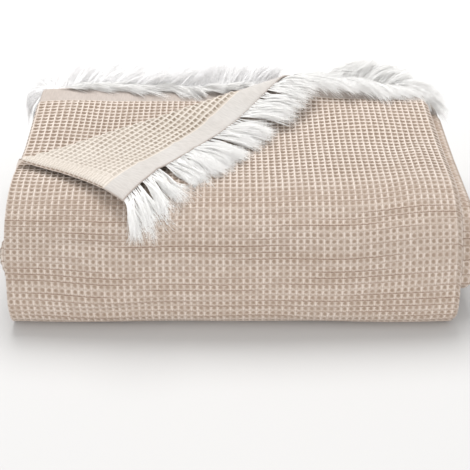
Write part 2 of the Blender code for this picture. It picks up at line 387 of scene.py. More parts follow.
# Places of vertices across the cloth, in cells: at the folds, on the faces that show, and past them
# on the layer that the turned corner lays open.
FOLDS_ONLY = spaced(
    (0, 2, 0.5), (2, 66, 8), (66, 67.5, 0.5), (67.5, 71.75, 0.25), (72, 74, 0.5),
    (74, 136, 7.75), (136, 138, 0.5), (138, 140.5, 0.25), (140.5, 143, 0.5),
    (143, 204, 7.625), (204, 206, 0.5),
)
FACE_TOO = np.union1d(FOLDS_ONLY, spaced((0, 67.5, 0.5)))
OPEN_TOO = np.union1d(FACE_TOO, spaced((143, 182, 0.5)))

# Rows of vertices, by the cells they are from the upper band.
ROW_SPANS = (
    # from, to, step, places
    (0,   23,  0.5, OPEN_TOO),
    (23,  54,  0.5, FACE_TOO),
    (54,  86,  2.0, FOLDS_ONLY),
    (86,  105, 0.5, FACE_TOO),
    (105, 127, 2.0, FOLDS_ONLY),
    (127, 134, 0.5, FOLDS_ONLY),
    (134, 160, 2.0, FOLDS_ONLY),
    (160, 168, 0.5, FOLDS_ONLY),
    (168, 239, 1.0, FOLDS_ONLY),
)
BAND_ROWS = 9


def row_plan():
    """The cell that each row of vertices is at, and the places across it that have one."""
    band_cells = np.linspace(-BAND / CELL_V, 0, BAND_ROWS)[:-1]
    rows = [(cell, OPEN_TOO) for cell in band_cells]
    for start, stop, step, places in ROW_SPANS:
        rows.extend((cell, places) for cell in np.arange(start, stop, step))
    rows.extend((CELLS_ALONG + cell, FOLDS_ONLY) for cell in np.linspace(0, BAND / CELL_V, BAND_ROWS))
    return rows


def along_of_cells(cell_u, cell_v):
    """How far along the cloth a cell lies. The outer layer of a bend has more rows in it."""
    target = BAND + cell_v * CELL_V
    _, out, _ = across_path.at(cell_u * CELL_U)
    grid = np.linspace(0, LENGTH, 3001)
    slip = along_path.turned_at(grid) * (1 - smooth((grid - SLIP_FROM) / SLIP_FADE))
    found = np.empty_like(target)
    for value in np.unique(np.round(out, 7)):
        here = np.round(out, 7) == value
        found[here] = np.interp(target[here], grid + value * slip, grid)
    return found


def zip_rows(places_a, ids_a, places_b, ids_b):
    """Faces between two rows of vertices. Equal rows give squares and others triangles."""
    if len(places_a) == len(places_b) and np.allclose(places_a, places_b):
        return [(ids_a[i], ids_a[i + 1], ids_b[i + 1], ids_b[i]) for i in range(len(places_a) - 1)]
    faces = []
    i = j = 0
    while i < len(places_a) - 1 or j < len(places_b) - 1:
        next_a = places_a[i + 1] if i < len(places_a) - 1 else math.inf
        next_b = places_b[j + 1] if j < len(places_b) - 1 else math.inf
        if next_a <= next_b:
            faces.append((ids_a[i], ids_a[i + 1], ids_b[j]))
            i += 1
        else:
            faces.append((ids_a[i], ids_b[j + 1], ids_b[j]))
            j += 1
    return faces


def ridges(cell_u, cell_v):
    """1 on the ridges round each cell and -1 at the bottom of its pit."""
    return np.maximum(np.cos(2 * np.pi * cell_u), np.cos(2 * np.pi * cell_v))


# Share of the baked picture for each stretch of the cloth, by where it starts in millimetres.
FACE_ACROSS = ((0, 1.0), (450, 0.15), (840, 0.9), (1120, 0.15))
BACK_ACROSS = ((0, 1.0), (310, 0.1))
TEXTURE_ALONG = ((0, 1.0), (350, 0.15), (540, 1.0), (665, 0.15), (1235, 0.4))
MAP_GAP = 8 * MM
MAP_RIM = 1.5 * MM  # how wide each half of the rim is in the picture
REST_ALONG = 350 * MM  # how far fringes can rest on the top layer
REST_BAND = 90 * MM  # and on the layer past the left fold


def stretched(at, table, whole):
    """Distance in the picture, where some stretches of the cloth are narrower."""
    starts = np.array([row[0] for row in table]) * MM
    weights = np.array([row[1] for row in table])
    edges = np.append(starts, whole)
    totals = np.concatenate([[0], np.cumsum(weights * np.diff(edges))])
    return np.interp(at, edges, totals)


def add_object(name, data):
    obj = bpy.data.objects.new(name, data)
    bpy.context.scene.collection.objects.link(obj)
    return obj


def unit(vectors):
    return vectors / (np.linalg.norm(vectors, axis=-1, keepdims=True) + 1e-12)


def sheet_places():
    """The cell and the place of each vertex, the vertices of each row, and the faces."""
    rows = row_plan()
    first = np.concatenate([[0], np.cumsum([len(places) for _, places in rows])])
    ids = [np.arange(first[r], first[r + 1]) for r in range(len(rows))]
    cell_u = np.concatenate([places for _, places in rows])
    cell_v = np.concatenate([np.full(len(places), cell) for cell, places in rows])
    u = cell_u * CELL_U
    v = along_of_cells(cell_u, cell_v)
    v[ids[0]] = 0.0
    v[ids[-1]] = LENGTH
    faces = []
    for r in range(len(rows) - 1):
        faces.extend(zip_rows(rows[r][1], ids[r], rows[r + 1][1], ids[r + 1]))
    return cell_u, cell_v, u, v, ids, faces


def sheet_surfaces(cell_u, cell_v, u, v):
    """Points on the face, the reverse and the middle of the cloth, and its two directions there."""
    middle = cloth_at(u, v)
    du = cloth_at(u + NORMAL_STEP, v) - cloth_at(u - NORMAL_STEP, v)
    dv = cloth_at(u, v + NORMAL_STEP) - cloth_at(u, v - NORMAL_STEP)
    normal = unit(-np.cross(du, dv))
    woven = smooth((v - BAND) / THICKENING) * smooth((LENGTH - BAND - v) / THICKENING)
    half = HALF_BAND + (HALF_CLOTH - HALF_BAND) * woven
    face = middle + normal * (half + RELIEF * woven * ridges(cell_u, cell_v))[:, None]
    back = middle - normal * (half + RELIEF * woven * ridges(cell_u + 0.5, cell_v + 0.5))[:, None]
    return face, back, middle, unit(du), unit(dv)


def bake_map(u, v, loop, off_u, off_v):
    """Each vertex's place in the baked picture, and that of the reverse's edge in the rim's faces."""
    face_s = stretched(u, FACE_ACROSS, WIDTH)
    back_s = stretched(u, BACK_ACROSS, WIDTH)
    t = stretched(v, TEXTURE_ALONG, LENGTH)
    face_wide = stretched(WIDTH, FACE_ACROSS, WIDTH)
    wide = face_wide + stretched(WIDTH, BACK_ACROSS, WIDTH) + 4 * MAP_GAP
    tall = stretched(LENGTH, TEXTURE_ALONG, LENGTH) + 2 * MAP_GAP
    face = np.stack([(MAP_GAP + face_s) / wide, (MAP_GAP + t) / tall], axis=1)
    back = np.stack([(3 * MAP_GAP + face_wide + back_s) / wide, (MAP_GAP + t) / tall], axis=1)
    away = np.stack([off_u / wide, off_v / tall], axis=1) * MAP_RIM
    return np.concatenate([face, back, face[loop] + away]), face[loop] + 2 * away


def build_sheet():
    """The woven sheet with its round rim, and the places where fringes can rest."""
    cell_u, cell_v, u, v, ids, faces = sheet_places()
    face, back, middle, du, dv = sheet_surfaces(cell_u, cell_v, u, v)
    total = len(u)
    # the rim has a ring of its own so that it is round
    loop = [*ids[0], *(i[-1] for i in ids[1:-1]), *reversed(ids[-1]), *(i[0] for i in ids[-2:0:-1])]
    loop = np.array(loop)
    off_u = (u[loop] >= WIDTH - 1e-6).astype(float) - (u[loop] <= 0)
    off_v = (v[loop] >= LENGTH - 1e-9).astype(float) - (v[loop] <= 0)
    ring = middle[loop] + (du[loop] * off_u[:, None] + dv[loop] * off_v[:, None]) * RIM
    ring_id = 2 * total + np.arange(len(loop))
    polygons = [tuple(reversed(f)) for f in faces]
    polygons += [tuple(i + total for i in f) for f in faces]
    sides = [0] * len(faces) + [1] * len(faces)
    rim_start = sum(len(f) for f in polygons)
    for k in range(len(loop)):
        n = (k + 1) % len(loop)
        polygons.append((loop[k], loop[n], ring_id[n], ring_id[k]))
        polygons.append((ring_id[k], ring_id[n], loop[n] + total, loop[k] + total))
        sides += [0, 0]
    polygons = [tuple(int(i) for i in f) for f in polygons]
    points = np.concatenate([face, back, ring])
    points[:, 2] = np.maximum(points[:, 2], 0.0)
    mesh = bpy.data.meshes.new("blanket_cloth")
    mesh.from_pydata(points.tolist(), [], polygons)
    mesh.polygons.foreach_set("material_index", sides)
    mesh.polygons.foreach_set("use_smooth", [True] * len(polygons))
    corners = np.concatenate([np.array(f) for f in polygons])
    cells = np.stack([cell_u, cell_v], axis=1)
    weave = np.concatenate([cells, cells + 0.5, cells[loop]])
    layer = mesh.uv_layers.new(name="weave")
    layer.data.foreach_set("uv", weave[corners].ravel())
    bake, outer_edge = bake_map(u, v, loop, off_u, off_v)
    bake_corners = bake[corners]
    # rim faces that touch the reverse stay beside the face's part of the picture
    place_in_loop = {int(i) + total: k for k, i in enumerate(loop)}
    for corner in range(rim_start, len(corners)):
        k = place_in_loop.get(int(corners[corner]))
        if k is not None:
            bake_corners[corner] = outer_edge[k]
    layer = mesh.uv_layers.new(name="OFBake")
    layer.data.foreach_set("uv", bake_corners.ravel())
    return add_object("blanket_cloth", mesh), resting_place(face, u, v, faces)


def resting_place(face, u, v, faces):
    """The face of the top ply, without the turned corner, for fringes to rest on."""
    top = (u < TOP_LAYER + 12 * MM) & (v < REST_ALONG) | (u > LEFT_FOLD + 10 * MM) & (v < REST_BAND)
    _, _, _, turned = fold_corner(u, v)
    top &= ~turned
    polygons = [tuple(int(i) for i in reversed(f)) for f in faces if all(top[i] for i in f)]
    return BVHTree.FromPolygons([Vector(p) for p in face], polygons)


# ---- materials -------------------------------------------------------


class Nodes:
    """Builds shader nodes with their values and links in one call each."""

    def __init__(self, name):
        self.material = bpy.data.materials.new(name)
        self.material.use_nodes = True
        self.tree = self.material.node_tree
        self.shader = self.tree.nodes["Principled BSDF"]

    def add(self, kind, inputs=None, out=0, **settings):
        node = self.tree.nodes.new(kind)
        for key, value in settings.items():
            setattr(node, key, value)
        for key, value in (inputs or {}).items():
            self.put(node.inputs[key], value)
        return node.outputs[out]

    def put(self, socket, value):
        if isinstance(value, bpy.types.NodeSocket):
            self.tree.links.new(value, socket)
        else:
            socket.default_value = value

    def surface(self, inputs):
        for key, value in inputs.items():
            self.put(self.shader.inputs[key], value)

    def math(self, operation, a, b=0.0):
        return self.add("ShaderNodeMath", {0: a, 1: b}, operation=operation)

    def times(self, a, b):
        return self.math("MULTIPLY", a, b)

    def plus(self, a, b):
        return self.math("ADD", a, b)

    def range(self, value, low, high, to_low=0.0, to_high=1.0):
        return self.add(
            "ShaderNodeMapRange",
            {"Value": value, "From Min": low, "From Max": high, "To Min": to_low, "To Max": to_high},
            interpolation_type="SMOOTHSTEP",
        )

    def mix(self, share, a, b, blend="MIX"):
        return self.add(
            "ShaderNodeMix", {0: share, 6: a, 7: b}, out=2, data_type="RGBA", blend_type=blend
        )

    def blend(self, share, a, b):
        return self.add("ShaderNodeMix", {0: share, 2: a, 3: b}, data_type="FLOAT")

    def vector(self, x, y, z=0.0):
        return self.add("ShaderNodeCombineXYZ", {0: x, 1: y, 2: z})

    def noise(self, vector, scale, detail=2.0):
        return self.add("ShaderNodeTexNoise", {"Vector": vector, "Scale": scale, "Detail": detail})


def colour(red, green, blue):
    """A linear colour from its sRGB values."""
    def linear(value):
        value /= 255
        return value / 12.92 if value <= 0.04045 else ((value + 0.055) / 1.055) ** 2.4
    return (linear(red), linear(green), linear(blue), 1.0)


# The first is the tone of the painted shadow lines below the ridges; the second tints darker rows, threads
# and blotches.
RIDGE_SHADOW_TONE = (0.50, 0.41, 0.36, 1.0)
BROWN_TINT = (0.80, 0.74, 0.68, 1.0)
# The top and the front get different painted light: on the top shade below the ridges and lit cross ridges,
# on the front highlights on the crests and shadow lines below them.
TOP_ROWS = 20  # the rows of cells that lie on the top
FRONT_ROWS = 36  # and from where the front is pulled flatter
STRAY = 0.26  # share of a cell within which the yarns stray
RING = 0.40  # radius in cells of the loops of yarn on the front
RIDGE_SHADOW_AT = 0.58  # where in a cell the painted shadow line below a ridge lies
PALE_CELLS = 24.0  # how far from the side edge the reverse is paler
STREAK_TONE = 0.90  # of the darker streaks in the plain bands
ROUGHNESS = 0.9
SPECULAR = 0.15


class Weave:
    """Where a place lies in the weave, as sockets that the steps of the cloth's material share."""

    def __init__(self, n):
        split = n.tree.nodes.new("ShaderNodeSeparateXYZ")
        self.place = n.add("ShaderNodeUVMap", uv_map="weave")
        n.put(split.inputs[0], self.place)
        self.across, self.along = split.outputs[0], split.outputs[1]
        stray = n.times(n.math("SUBTRACT", n.noise(self.place, 1.7), 0.5), STRAY)
        self.cell_u = n.plus(self.across, stray)
        self.cell_v = n.plus(self.along, stray)
        self.from_u = n.math("PINGPONG", self.cell_u, 0.5)
        self.from_v = n.math("PINGPONG", self.cell_v, 0.5)
        out_u = n.math("DIVIDE", n.math("SUBTRACT", 0.5, self.from_u), RING)
        out_v = n.math("DIVIDE", n.math("SUBTRACT", 0.5, self.from_v), RING)
        squares = n.plus(n.times(out_u, out_u), n.times(out_v, out_v))
        self.ring = n.math("SQRT", squares)
        row = n.math("FLOOR", n.plus(self.along, 0.5))
        along_row = n.vector(n.times(self.across, 0.045), n.times(row, 3.71))
        self.row_noise = n.noise(along_row, 1.0, 1.0)
        column = n.math("FLOOR", n.plus(self.across, 0.5))
        own_cell = n.vector(column, n.math("FLOOR", self.along))
        self.cell_noise = n.add("ShaderNodeTexWhiteNoise", {"Vector": own_cell})


def pits(n, w, flat, width, painted_shade_side):
    """Brown pits, partly their own colour and partly painted shade: on the top a painted shade lies below
    each pit's upper ridge, on the side away from the light, and on the flatter front they are round.
    """
    # the sign (1 on the face, -1 on the reverse) turns the painted shade to the side of each ridge that
    # faces away from the light
    down = n.math("FRACT", n.times(w.cell_v, painted_shade_side))
    shaded = n.math("MINIMUM", n.range(down, 0.10, 0.20), n.range(down, 0.42, 0.76, 1.0, 0.12))
    on_top = n.times(n.range(w.from_u, *width), shaded)
    deep = n.blend(flat, on_top, n.range(w.ring, 0.24, 0.80, 1.0, 0.0))
    return n.times(deep, n.range(w.cell_noise, 0.0, 1.0, 0.7, 1.0))


def pale_yarns(n, w, flat, main):
    """Pale yarns: long ridges on the top, and dashes with loops round the pits on the front."""
    gaps = n.range(w.from_v, 0.05, 0.16, 0.1, 1.0)
    dash = n.times(n.range(w.from_u, 0.06, 0.17, 1.0, 0.0), gaps)
    loop = n.math("MINIMUM", n.range(w.ring, 0.72, 0.95), n.range(w.ring, 1.02, 1.30, 0.6, 0.0))
    bars = n.blend(flat, main, n.times(n.math("MAXIMUM", dash, loop), 0.9))
    return n.times(bars, n.range(w.cell_noise, 0.0, 0.7, 0.50, 1.0))


def ridge_light_and_row_tone(n, w, flat, woven, ridge):
    """Painted highlights on the crests of the ridges, painted shadow lines just below them, stronger in some
    rows than in others, and rows that are darker as a whole.
    """
    # painted highlight on the crest of each ridge across the front
    crest_highlight = n.times(n.range(w.from_v, 0.02, 0.09, 1.0, 0.0), n.times(flat, 0.3))
    woven = n.mix(crest_highlight, woven, ridge)
    # painted shadow: a thin brown line just below each ridge across, stronger in some rows
    in_cell = n.math("FRACT", n.plus(w.cell_v, 0.5))
    from_ridge_shadow = n.math("ABSOLUTE", n.math("SUBTRACT", in_cell, RIDGE_SHADOW_AT))
    row_shadow_strength = n.range(w.row_noise, 0.40, 0.60, 0.06, 0.72)
    line = n.times(n.range(from_ridge_shadow, 0.04, 0.12, 1.0, 0.0), row_shadow_strength)
    woven = n.mix(n.times(line, n.plus(flat, 0.2)), woven, RIDGE_SHADOW_TONE, "MULTIPLY")
    darker = n.times(n.range(w.row_noise, 0.48, 0.66, 0.0, 0.28), flat)
    return n.mix(darker, woven, BROWN_TINT, "MULTIPLY")


def side_edge(n, w, woven, flank, ridge, pale):
    """Near the side edge the reverse is paler, and its rolled edge has ribs."""
    woven = n.mix(n.range(w.across, 0.0, PALE_CELLS, pale, 0.0), woven, ridge)
    rib = n.math("PINGPONG", n.times(w.cell_v, 2.0), 0.5)
    ribs = n.mix(n.range(rib, 0.12, 0.30), flank, ridge)
    return n.mix(n.range(w.across, 2.0, 3.6, pale * 2, 0.0), woven, ribs)


def band_colour(n, w, band):
    streak = n.noise(n.vector(n.times(w.cell_u, 3.0), n.times(w.cell_v, 0.4)), 1.6)
    darker = tuple(STREAK_TONE * part for part in band[:3]) + (1.0,)
    return n.mix(n.range(streak, 0.35, 0.65), band, darker)


def waffle_material(name, tones, widths, flatter, painted_shade_side, pale):
    """Waffle weave: raised ridges round brown pits, with painted shade in the pits, painted highlights and
    shadow lines at the ridges, some rows darker than others, and plain bands.
    """
    ridge, flank, pit, flat_pit, band = tones
    main_width, cross_width, pit_width = widths
    n = Nodes(name)
    w = Weave(n)
    main = n.range(w.from_u, *main_width, 1.0, 0.0)
    cross = n.range(w.from_v, *cross_width, 1.0, 0.0)
    flat = n.range(w.along, TOP_ROWS, FRONT_ROWS, 0.0, flatter)
    # painted shade and own brown of the pits, in the top's tone or the front's
    woven = n.mix(pits(n, w, flat, pit_width, painted_shade_side), flank, n.mix(flat, pit, flat_pit))
    # the cross ridges are pale on the top, partly their own colour and partly painted light where the light
    # from behind catches them, and fade on the front
    woven = n.mix(n.times(cross, n.math("SUBTRACT", 0.9, flat)), woven, ridge)
    woven = n.mix(pale_yarns(n, w, flat, main), woven, ridge)
    yarn_u = n.math("PINGPONG", n.times(w.cell_u, 4.0), 0.5)
    yarn_v = n.math("PINGPONG", n.times(w.cell_v, 6.0), 0.5)
    woven = n.mix(n.times(yarn_u, n.times(flat, 0.35)), woven, BROWN_TINT, "MULTIPLY")
    woven = ridge_light_and_row_tone(n, w, flat, woven, ridge)
    woven = side_edge(n, w, woven, flank, ridge, pale)
    in_bands = (n.math("LESS_THAN", w.along, -0.06), n.math("GREATER_THAN", w.along, CELLS_ALONG + 0.06))
    plain = n.plus(*in_bands)
    base = n.mix(plain, woven, band_colour(n, w, band))
    blotches = n.range(n.noise(w.place, 0.16), 0.35, 0.65, 0.0, 0.16)
    base = n.mix(blotches, base, BROWN_TINT, "MULTIPLY")
    base = n.mix(n.times(yarn_v, 0.3), base, BROWN_TINT, "MULTIPLY")
    raised = n.math("MAXIMUM", main, n.times(cross, 0.8))
    height = n.times(raised, n.math("SUBTRACT", 1.0, plain))
    height = n.plus(height, n.times(yarn_v, -0.25))
    bumped = n.add("ShaderNodeBump", {"Strength": 0.6, "Distance": 0.5 * MM, "Height": height})
    n.surface({"Base Color": base, "Roughness": ROUGHNESS, "Specular IOR Level": SPECULAR})
    n.surface({"Sheen Weight": 0.1, "Sheen Roughness": 0.6, "Normal": bumped})
    return n.material


def yarn_material(name, tint, glow):
    """White cotton that glows a little: painted light standing in for the light that loose threads pass on
    to each other.
    """
    n = Nodes(name)
    n.surface({"Base Color": tint, "Roughness": ROUGHNESS, "Specular IOR Level": SPECULAR})
    n.surface({"Sheen Weight": 1.0, "Sheen Roughness": 0.5})
    # painted light: the yarn glows in its own tint
    n.surface({"Emission Color": tint, "Emission Strength": glow})
    return n.material


# Tones of the ridges, their flanks, the pits on the top, the pits on the front and the plain bands. The
# pits' tones are partly the cloth's own brown and partly painted shade, darker on the top, where the light
# from behind leaves them in shade.
FACE_TONES = (
    colour(212, 201, 192), colour(170, 154, 141), colour(130, 113, 98), colour(150, 133, 118),
    colour(180, 170, 163),
)
REVERSE_TONES = (
    colour(212, 204, 195), colour(190, 181, 170), colour(128, 115, 100), colour(128, 115, 100),
    colour(192, 188, 184),
)
# Cells from a ridge's middle where it ends: the main ridges, those across them and the pits' own edge.
FACE_WIDTHS = ((0.05, 0.14), (0.09, 0.18), (0.10, 0.20))
REVERSE_WIDTHS = ((0.03, 0.11), (0.07, 0.15), (0.09, 0.18))

cloth, ground = build_sheet()
for name, tones, widths, flatter, painted_shade_side, pale in (
    ("waffle_face", FACE_TONES, FACE_WIDTHS, 1.0, 1.0, 0.0),
    ("waffle_reverse", REVERSE_TONES, REVERSE_WIDTHS, 0.0, -1.0, 0.4),
):
    cloth.data.materials.append(waffle_material(name, tones, widths, flatter, painted_shade_side, pale))
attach(cloth, "root")
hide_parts("blanket")

# ---- fringes ---------------------------------------------------------

# The locks: where across the cloth each starts and stops in millimetres, which way it lies (to the
# right, back and up), how it falls, its length in millimetres and how many threads it has.
FLAP_LOCKS = (
    # from, to, right, back, up, droop, length, threads
    (0.3, 12,  0.22, -0.60, -0.55, 0.80, 48, 16),
    (10,  24,  0.42, -0.60, -0.45, 0.80, 50, 17),
    (26,  38,  0.58, -0.62, -0.30, 0.70, 47, 15),
    (36,  50,  0.70, -0.62, -0.20, 0.60, 46, 15),
    (60,  74,  0.62, -0.66, -0.10, 0.50, 44, 16),
    (72,  86,  0.74, -0.60, -0.05, 0.40, 46, 16),
    (84,  100, 0.88, -0.42,  0.05, 0.30, 50, 20),
    (98,  118, 0.93, -0.30,  0.05, 0.30, 52, 24),
    (114, 130, 0.88, -0.45,  0.05, 0.30, 46, 17),
    (134, 150, 0.93, -0.26,  0.05, 0.30, 48, 18),
    (147, 165, 0.96, -0.18,  0.05, 0.30, 50, 20),
    (162, 178, 0.90, -0.34,  0.05, 0.30, 44, 15),
    (180, 200, 0.98, -0.08,  0.08, 0.30, 52, 20),
    (196, 212, 0.96, -0.16,  0.08, 0.35, 50, 18),
    (209, 229, 0.92, -0.28,  0.08, 0.35, 48, 18),
    (230, 248, 0.88, -0.40,  0.08, 0.40, 46, 18),
    (245, 262, 0.93, -0.28,  0.08, 0.40, 46, 18),
)
RIGHT_LOCKS = (
    (259, 272, 0.95, -0.15,  0.00, 0.30, 48, 14),
    (270, 283, 0.96,  0.00,  0.00, 0.30, 48, 14),
    (281, 293, 0.95,  0.10,  0.02, 0.30, 50, 14),
    (291, 305, 0.88,  0.30,  0.20, 0.30, 52, 17),
    (300, 315, 0.80,  0.46,  0.34, 0.30, 50, 18),
    (312, 327, 0.66,  0.56,  0.40, 0.30, 50, 18),
    (324, 339, 0.78,  0.42,  0.44, 0.30, 50, 18),
    (336, 350, 0.66,  0.52,  0.44, 0.30, 50, 18),
    (347, 361, 0.76,  0.42,  0.44, 0.32, 50, 18),
    (358, 372, 0.70,  0.46,  0.42, 0.34, 48, 18),
    (369, 383, 0.82,  0.25,  0.38, 0.40, 48, 18),
    (380, 394, 0.84,  0.05,  0.32, 0.50, 46, 18),
    (391, 405, 0.80, -0.10,  0.26, 0.60, 44, 17),
    (402, 413, 0.86, -0.18,  0.14, 0.60, 44, 15),
    (410, 419, 0.88, -0.30,  0.04, 0.70, 45, 13),
    (420, 430, 0.66, -0.40, -0.20, 0.90, 46, 12),
    (430, 440, 0.46, -0.55, -0.45, 0.80, 46, 11),
)
# The same edge's threads that have flopped forwards over the band.
FORWARD_LOCKS = (
    (276, 290, 0.80, -0.30, 0.12, 0.40, 44, 14),
    (286, 300, 0.76, -0.50, 0.14, 0.50, 46, 16),
    (297, 311, 0.82, -0.46, 0.16, 0.50, 48, 17),
    (308, 322, 0.66, -0.62, 0.16, 0.50, 46, 17),
    (319, 333, 0.78, -0.52, 0.18, 0.50, 48, 17),
    (330, 344, 0.66, -0.60, 0.18, 0.50, 44, 17),
    (341, 355, 0.80, -0.46, 0.18, 0.50, 48, 17),
    (352, 366, 0.70, -0.56, 0.18, 0.50, 44, 17),
    (363, 377, 0.84, -0.42, 0.18, 0.50, 46, 17),
    (374, 388, 0.76, -0.50, 0.18, 0.50, 44, 17),
    (385, 399, 0.86, -0.36, 0.18, 0.55, 44, 17),
    (396, 410, 0.82, -0.42, 0.16, 0.65, 40, 16),
)
LEFT_LOCKS = (
    (852,  860,  -0.36, 0.10, -0.60, 0.60, 46, 14),
    (856,  867,  -0.56, 0.00, -0.30, 0.80, 52, 17),
    (861,  873,  -0.66, 0.20,  0.00, 1.00, 54, 18),
    (866,  879,  -0.30, 0.46,  0.20, 0.90, 52, 17),
    (869,  882,   0.06, 0.52,  0.56, 0.50, 44, 18),
    (873,  888,   0.32, 0.46,  0.54, 0.40, 46, 18),
    (880,  896,   0.50, 0.30,  0.60, 0.30, 46, 18),
    (889,  906,   0.48, 0.58,  0.48, 0.30, 48, 19),
    (899,  917,   0.72, 0.28,  0.58, 0.25, 52, 19),
    (911,  930,   0.46, 0.58,  0.50, 0.20, 50, 20),
    (925,  942,   0.80, 0.26,  0.54, 0.25, 54, 19),
    (938,  956,   0.50, 0.58,  0.50, 0.20, 50, 19),
    (952,  968,   0.82, 0.26,  0.52, 0.25, 54, 19),
    (964,  982,   0.50, 0.60,  0.50, 0.20, 50, 19),
    (978,  996,   0.78, 0.30,  0.52, 0.25, 54, 19),
    (992,  1010,  0.50, 0.58,  0.48, 0.20, 50, 19),
    (1006, 1022,  0.58, 0.42,  0.56, 0.25, 50, 19),
    (1019, 1034,  0.34, 0.56,  0.50, 0.25, 46, 18),
    (1031, 1046,  0.34, 0.48,  0.56, 0.20, 46, 18),
    (1043, 1058,  0.24, 0.56,  0.50, 0.25, 44, 18),
    (1055, 1070,  0.30, 0.46,  0.56, 0.20, 46, 18),
    (1067, 1082,  0.20, 0.56,  0.50, 0.25, 44, 18),
    (1079, 1094,  0.30, 0.46,  0.56, 0.25, 44, 18),
    (1091, 1106,  0.20, 0.56,  0.50, 0.25, 44, 18),
    (1104, 1120,  0.20, 0.55,  0.54, 0.25, 42, 16),
)
LOW_LEFT_LOCKS = (
    (878,  893,  0.70, -0.10, 0.36, 0.50, 36, 15),
    (894,  910,  0.90, -0.10, 0.26, 0.50, 42, 16),
    (911,  927,  0.88, -0.16, 0.26, 0.50, 44, 16),
    (930,  946,  0.90, -0.12, 0.26, 0.50, 44, 16),
    (949,  965,  0.84, -0.24, 0.26, 0.50, 44, 16),
    (968,  984,  0.88, -0.22, 0.24, 0.50, 42, 16),
    (987,  1003, 0.80, -0.34, 0.26, 0.50, 40, 16),
    (1006, 1022, 0.74, -0.36, 0.30, 0.50, 38, 16),
    (1025, 1041, 0.60, -0.30, 0.34, 0.50, 38, 16),
    (1044, 1060, 0.66, -0.24, 0.34, 0.50, 38, 16),
    (1063, 1079, 0.56, -0.26, 0.40, 0.50, 36, 16),
    (1082, 1098, 0.40, -0.20, 0.44, 0.60, 34, 15),
)
# Where little of the fringe shows the locks repeat: how many there are, and then the same columns.
INNER_LOCKS = (
    # locks, from, to, right, back, up, droop, length, threads
    (26, 441,  852,    0.05, 0.95, 0.00, 0.60, 44, 10),
    (9,  1121, 1269.5, 0.15, 0.90, 0.25, 0.35, 46, 11),
)
LOWER_LOCKS = (
    (27, 0.5, 418,     0.00, 0.95, 0.00, 0.75, 44, 10),
    (2,  419, 440,     0.40, 0.85, 0.00, 0.85, 42, 8),
    (27, 441, 852,     0.00, 0.95, 0.05, 0.60, 44, 10),
    (2,  853, 865,    -0.40, 0.85, 0.00, 0.85, 42, 8),
    (26, 866, 1269.5,  0.05, 0.95, 0.00, 0.70, 44, 8),
)
STRAND_SIDES = 3
LOCK_THICK = 3.2 * MM
LOCK_CLEARANCE = 2.6 * MM  # of a lock's middle over the cloth it rests on
STRAND_CLEARANCE = 0.35 * MM  # and of its fibres
REST_WITHIN = 20 * MM  # how close to the cloth a point rests on it
ROOT_DEPTH = 1.0 * MM  # how far inside the band the fibres start
EDGE_STEP = 0.5 * MM  # between the places that give a woven end's direction
THREAD_SPREAD = 2.1 * MM  # of the fibres of a thread, at its tip
FAN_AT = FLAP_END - 16 * MM  # where on the woven end strands follow the crease
CREASE_FAN = 25 * MM  # and how far beside it
SIDE_REACH = 236 * MM  # from where strands bend back from the sides
SIDE_SOFT = 11 * MM


def repeated(rows):
    """The rows of a table of repeating locks as single locks that differ a little."""
    rng = np.random.default_rng(7)
    locks = []
    for count, start, stop, *rest in rows:
        edges = np.linspace(start, stop, count + 1)
        for left, right in zip(edges, edges[1:]):
            lean, back, up, droop, length, threads = rest
            lean = lean + rng.normal(0, 0.25)
            length = length * rng.uniform(0.9, 1.05)
            locks.append((left, right, lean, back, up, droop, length, threads))
    return locks


def end_frame(across, end):
    """Base and ahead direction at places across a woven end; along the crease near it."""
    inward = np.full(across.shape, EDGE_STEP if end == 0 else -EDGE_STEP)
    crease_u = np.zeros(across.shape)
    if end == 0:
        (line_u, line_v), _ = crease_axes()
        fan = bump(across - FAN_AT, CREASE_FAN)
        crease_u = -EDGE_STEP * line_u * fan
        inward = -EDGE_STEP * line_v * fan + inward * (1 - fan)
    base = cloth_at(across, np.full(across.shape, float(end)))
    inner = cloth_at(across + crease_u, end + inward)
    return base, unit(base - inner)


def lock_middle(base, ahead, aim, droop, length, points, rng):
    """A lock's curved middle: it leaves the band straight ahead, turns to its own aim and droops."""
    aside = unit(np.cross(aim, (0, 0, 1)))
    curl = rng.normal(0, 0.25)
    middle = [base]
    for share in np.linspace(0, 1, points)[1:]:
        root = max(0.0, 1 - share / 0.3) * 0.6
        heading = aim * (1 - root) + ahead * root + aside * curl * share - np.array([0, 0, droop * share])
        middle.append(middle[-1] + unit(heading) * length / (points - 1))
    return np.array(middle)


def frayed(share, length, rng):
    """How far each fibre lies beside and over its thread's middle, at shares of its length."""
    count = len(share)
    angle = rng.uniform(0, 2 * np.pi, (count, 1))
    radius = np.sqrt(rng.uniform(0, 1, (count, 1))) * THREAD_SPREAD
    twist = rng.normal(0, 1.2, (count, 1))
    ripple = rng.uniform(0, 2 * np.pi, (count, 1))
    loose = (0.30 + 0.70 * share**1.3) * radius
    lean = rng.normal(0, 0.055, (count, 2))
    beside = loose * np.cos(angle + twist * share)
    over = loose * np.sin(angle + twist * share)
    beside = beside + 0.6 * MM * np.sin(ripple + 11 * share) * share
    beside = beside + lean[:, :1] * share**1.5 * length
    over = over + lean[:, 1:] * share**1.5 * length
    return beside, over


